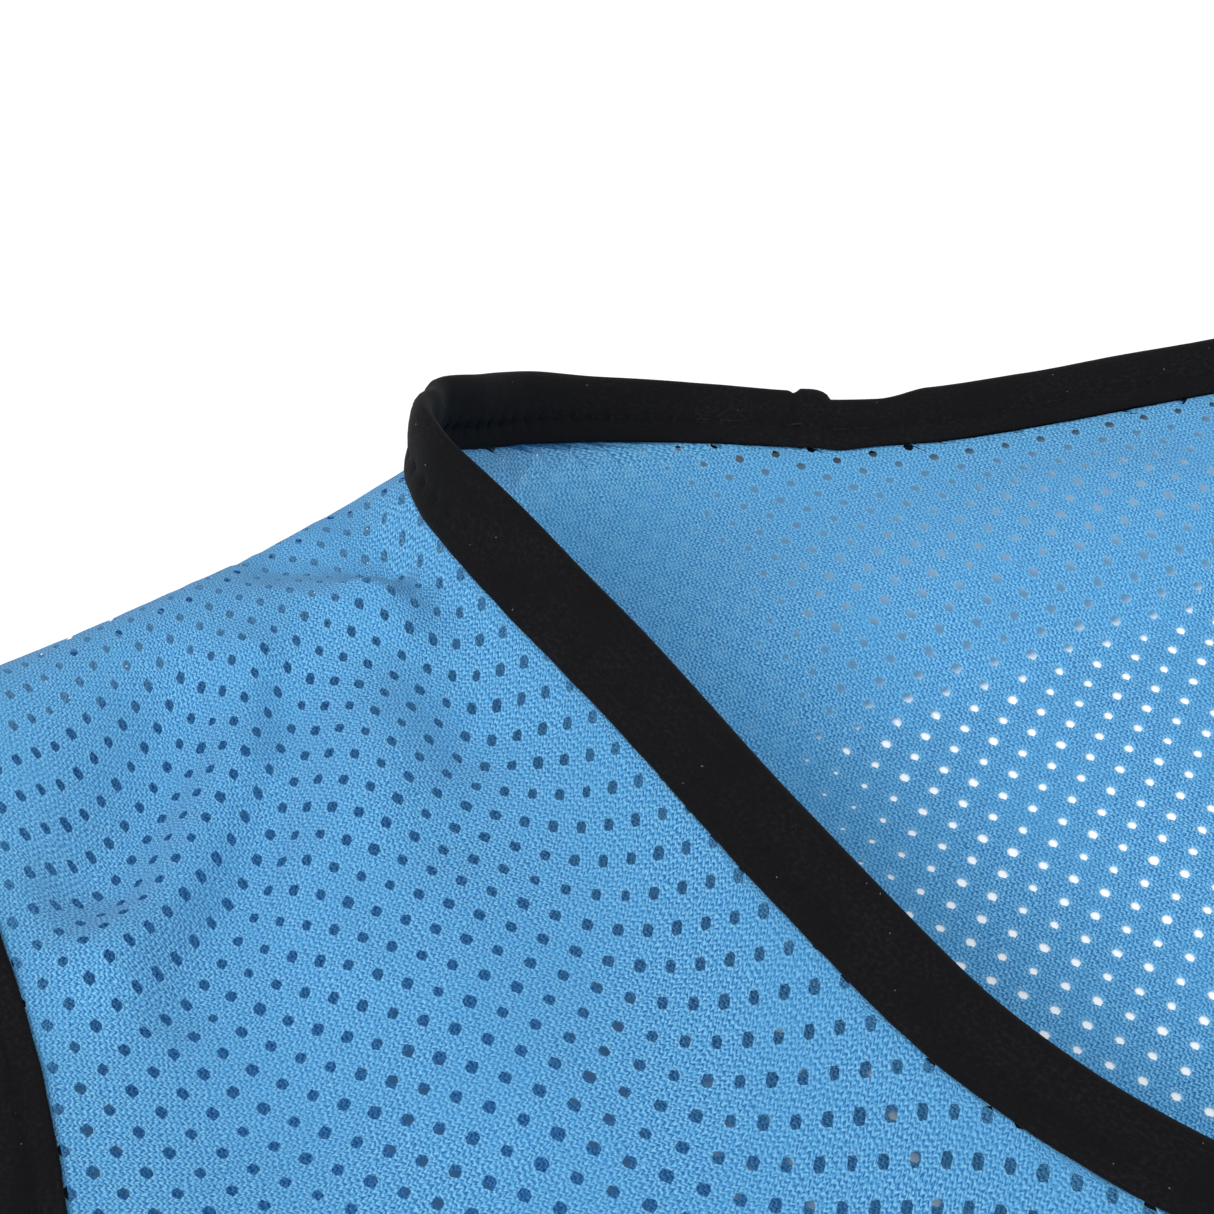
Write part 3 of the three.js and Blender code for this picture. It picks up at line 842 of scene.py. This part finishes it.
def tape_piece(name, surface, material):
    """A folded tape from its corners, with its pattern along and around it."""
    corners, where = surface[:2]
    steps, size = corners.shape[:2]
    number = np.arange(steps * size).reshape(steps, size)
    after = np.roll(number, -1, axis=0)
    faces = np.stack([number, after, np.roll(after, -1, axis=1), np.roll(number, -1, axis=1)], axis=-1)
    girth = path_lengths(TAPE_PROFILE)
    uv = np.stack(np.broadcast_arrays(where[:, None], girth), axis=-1).reshape(-1, 2) / TAPE_PATTERN
    return make_mesh(name, corners.reshape(-1, 3), faces.reshape(-1, 4), material, uv)


# Stitches, seams and lint


def threads_piece(name, starts, ends, radius, material):
    """Many short round threads as one mesh, each from a start to an end."""
    starts, ends = np.asarray(starts), np.asarray(ends)
    radius = np.broadcast_to(radius, len(starts))
    run = ends - starts
    length = np.linalg.norm(run, axis=1, keepdims=True)
    run = run / length
    helper = np.where(np.abs(run[:, 2:]) < 0.8, [[0.0, 0.0, 1.0]], [[1.0, 0.0, 0.0]])
    first = np.cross(run, helper)
    first /= np.linalg.norm(first, axis=1, keepdims=True)
    second = np.cross(run, first)
    angles = np.arange(THREAD_SIDES) * 2 * math.pi / THREAD_SIDES
    spokes = first[:, None] * np.cos(angles)[:, None] + second[:, None] * np.sin(angles)[:, None]
    rings = []
    for part, share in THREAD_RINGS:
        middle = starts + (ends - starts) * part
        rings.append(middle[:, None] + spokes * (radius * share)[:, None, None])
    points = np.stack(rings, axis=1)
    count = len(starts)
    number = np.arange(points.size // 3).reshape(count, len(THREAD_RINGS), THREAD_SIDES)
    around = np.roll(number, -1, axis=2)
    sides = np.stack([number[:, :-1], around[:, :-1], around[:, 1:], number[:, 1:]], axis=-1)
    faces = sides.reshape(-1, 4).tolist()
    faces += number[:, 0, ::-1].tolist()
    faces += number[:, -1].tolist()
    along = np.repeat(THREAD_RINGS[:, 0] * length, THREAD_SIDES, axis=1)
    turn = np.tile(np.arange(THREAD_SIDES) / THREAD_SIDES, count * len(THREAD_RINGS))
    uv = np.stack([along.ravel(), turn], axis=1)
    return make_mesh(name, points.reshape(-1, 3), faces, material, uv)


def tape_stitches(surface):
    """The rows of stitches on both faces of a tape, from pinch to pinch."""
    corners, where, _, rise = surface
    number = np.arange(int(where[-1] / STITCH_PITCH))
    starts, ends = [], []
    for corner, sign in STITCH_CORNERS:
        line = corners[:, corner] + rise * sign * STITCH_PROUD
        starts += along_path(line, where, (number + STITCH_FROM) * STITCH_PITCH).tolist()
        ends += along_path(line, where, (number + STITCH_TO) * STITCH_PITCH).tolist()
    return starts, ends


def hem_stitches(panel):
    """A row of stitches above the hem, on both faces of a panel."""
    begin = np.arange(HEM_FROM, HEM_TO, HEM_PITCH)
    starts, ends = [], []
    for lift in (-HEM_PROUD, HEM_PROUD):
        for p, ending in ((begin, starts), (begin + HEM_STITCH, ends)):
            points = place_on_cloth(panel, p, np.full(len(p), HEM_STITCH_UP))[0]
            points[:, 2] += lift
            ending.extend(points.tolist())
    return starts, ends


def seam_threads(path):
    """Slanted overlock threads across a seam line."""
    where = path_lengths(path)
    spots = np.arange(SEAM_PITCH, where[-1] - SEAM_PITCH, SEAM_PITCH)
    line = along_path(path, where, spots)
    ahead = along_path(path, where, spots + SEAM_AHEAD) - line
    ahead /= np.linalg.norm(ahead, axis=1, keepdims=True)
    across = np.cross(ahead, (0, 0, 1))
    across /= np.linalg.norm(across, axis=1, keepdims=True)
    slant = across * SEAM_REACH + ahead * SEAM_PITCH * SEAM_SLANT
    return (line - slant).tolist(), (line + slant).tolist()


def seam_pieces(material):
    """The shoulder and side seams as rows of overlock threads."""
    starts, ends = [], []
    across = np.linspace(0.01, 0.99, 60)
    spots = np.linspace(FRONT["arm_end"] + 0.15, len(FRONT["rows"]) - 1, 200)
    for side in (-1, 1):
        shoulder = wall_point(FRONT, side, across, np.zeros(len(across))) - (0, 0, SEAM_INSIDE)
        flank = wall_point(FRONT, side, np.ones(len(spots)), spots)
        for path in (shoulder, flank):
            more_starts, more_ends = seam_threads(path)
            starts += more_starts
            ends += more_ends
    return threads_piece("seam_threads", starts, ends, SEAM_RADIUS, material)


def lint_piece(surfaces, material):
    """A few pale fibres that cling to the tapes."""
    rng = np.random.default_rng(LINT_SEED)
    starts, ends, radius = [], [], []
    for (corners, where, along, _), count in surfaces:
        for _ in range(count):
            step = rng.integers(len(where))
            corner = rng.choice(LINT_CORNERS)
            edge = corners[step, corner + 1] - corners[step, corner]
            spot = corners[step, corner] + edge * rng.random()
            way = along[step] * rng.normal() + edge * rng.normal()
            way = way / np.linalg.norm(way) * rng.uniform(*LINT_HALF)
            starts.append(spot - way)
            ends.append(spot + way)
            radius.append(rng.uniform(*LINT_RADIUS))
    return threads_piece("lint", starts, ends, np.array(radius), material)


# Floor, light and camera

CAMERA_PLACE = (-0.19906, -0.04749, 0.30808)
CAMERA_AZIMUTH = math.radians(-17)
CAMERA_ELEVATION = math.radians(40)
CAMERA_LENS = 100.8
FLOOR_HALF = 30000.0

# The surround's strength, and name, energy, azimuth from the front and elevation of each light
SURROUND = 0.44
LIGHTS = (("key", 2.6, -55, 43), ("fill", 1.5, -17, 66))
LIGHT_ANGLE = math.radians(28)


def pale_floor():
    """A plain pale floor under the bib."""
    material, tree = new_material("pale_floor")
    face = add_node(tree, "ShaderNodeBsdfPrincipled")
    face.inputs["Base Color"].default_value = (0.8, 0.8, 0.8, 1)
    face.inputs["Roughness"].default_value = 0.7
    face.inputs["Specular IOR Level"].default_value = 0.1
    show(tree, face.outputs[0])
    corners = [(x * FLOOR_HALF, y * FLOOR_HALF, 0) for x, y in ((-1, -1), (1, -1), (1, 1), (-1, 1))]
    floor = make_mesh("floor", corners, [(0, 1, 2, 3)], material, soft=False)


def studio_light():
    """A pale surround, with a soft key light from the left and a soft fill from above the camera."""
    world = bpy.data.worlds.new("studio")
    bpy.context.scene.world = world
    world.use_nodes = True
    surround = world.node_tree.nodes["Background"]
    surround.inputs["Color"].default_value = (1, 1, 1, 1)
    surround.inputs["Strength"].default_value = SURROUND
    for name, energy, azimuth, elevation in LIGHTS:
        data = bpy.data.lights.new(name, "SUN")
        data.energy = energy
        data.angle = LIGHT_ANGLE
        lamp = bpy.data.objects.new(name, data)
        bpy.context.scene.collection.objects.link(lamp)
        lamp.location = (math.sin(math.radians(azimuth)), -math.cos(math.radians(azimuth)), 2)
        lamp.rotation_euler = (math.radians(90 - elevation), 0, math.radians(azimuth))


def photo_camera():
    """The camera at the photograph's place and angle."""
    a, e = CAMERA_AZIMUTH, CAMERA_ELEVATION
    right = (math.cos(a), math.sin(a), 0)
    up = (-math.sin(a) * math.sin(e), math.cos(a) * math.sin(e), math.cos(e))
    back = (math.sin(a) * math.cos(e), -math.cos(a) * math.cos(e), math.sin(e))
    data = bpy.data.cameras.new("camera")
    data.lens = CAMERA_LENS
    data.sensor_width = 36
    data.sensor_fit = "HORIZONTAL"
    data.clip_start = 0.01
    camera = bpy.data.objects.new("camera", data)
    bpy.context.scene.collection.objects.link(camera)
    camera.location = CAMERA_PLACE
    camera.rotation_euler = Matrix((right, up, back)).transposed().to_euler()
    bpy.context.scene.camera = camera


photo_camera()
pale_floor()
studio_light()
bpy.context.scene.view_settings.view_transform = "Standard"

cloth = mesh_cloth()
tape = tape_cloth()

front = panel_piece(FRONT, cloth, "front_mesh")
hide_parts("front_panel")

back = panel_piece(BACK, cloth, "back_mesh")
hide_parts("back_panel")

surfaces = {
    "neck": tape_surface(neck_run(), outward_known=False, lapped=True, seed=11),
    "armhole_left": tape_surface(arm_run(-1), outward_known=True, lapped=False, seed=31),
    "armhole_right": tape_surface(arm_run(1), outward_known=True, lapped=False, seed=51),
}
bindings = {
    "neck": "neck_binding",
    "armhole_left": "armhole_binding_left",
    "armhole_right": "armhole_binding_right",
}
tape_pieces = []
starts, ends = [], []
for key, node in bindings.items():
    piece = tape_piece(key + "_tape", surfaces[key], tape)
    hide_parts(node)
    tape_pieces.append(piece)
    more_starts, more_ends = tape_stitches(surfaces[key])
    starts += more_starts
    ends += more_ends
black_thread = thread("black_thread", (0.003, 0.003, 0.004, 1), (0.012, 0.012, 0.014, 1))
tape_pieces.append(threads_piece("tape_stitches", starts, ends, STITCH_RADIUS, black_thread))
pale_lint = thread("pale_lint", (0.05, 0.06, 0.08, 1), (0.22, 0.24, 0.28, 1))
strewn = [(surfaces[key], count) for key, count in LINT_COUNTS.items()]
tape_pieces.append(lint_piece(strewn, pale_lint))

blue_thread = thread("blue_thread", (0.05, 0.22, 0.52, 1), (0.14, 0.44, 0.78, 1))
hem_starts, hem_ends = [], []
for panel in (FRONT, BACK):
    more_starts, more_ends = hem_stitches(panel)
    hem_starts += more_starts
    hem_ends += more_ends
cloth_pieces = [front, back]
cloth_pieces.append(threads_piece("hem_stitches", hem_starts, hem_ends, HEM_RADIUS, blue_thread))
cloth_pieces.append(seam_pieces(blue_thread))

for piece in cloth_pieces + tape_pieces:
    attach(piece, "root")
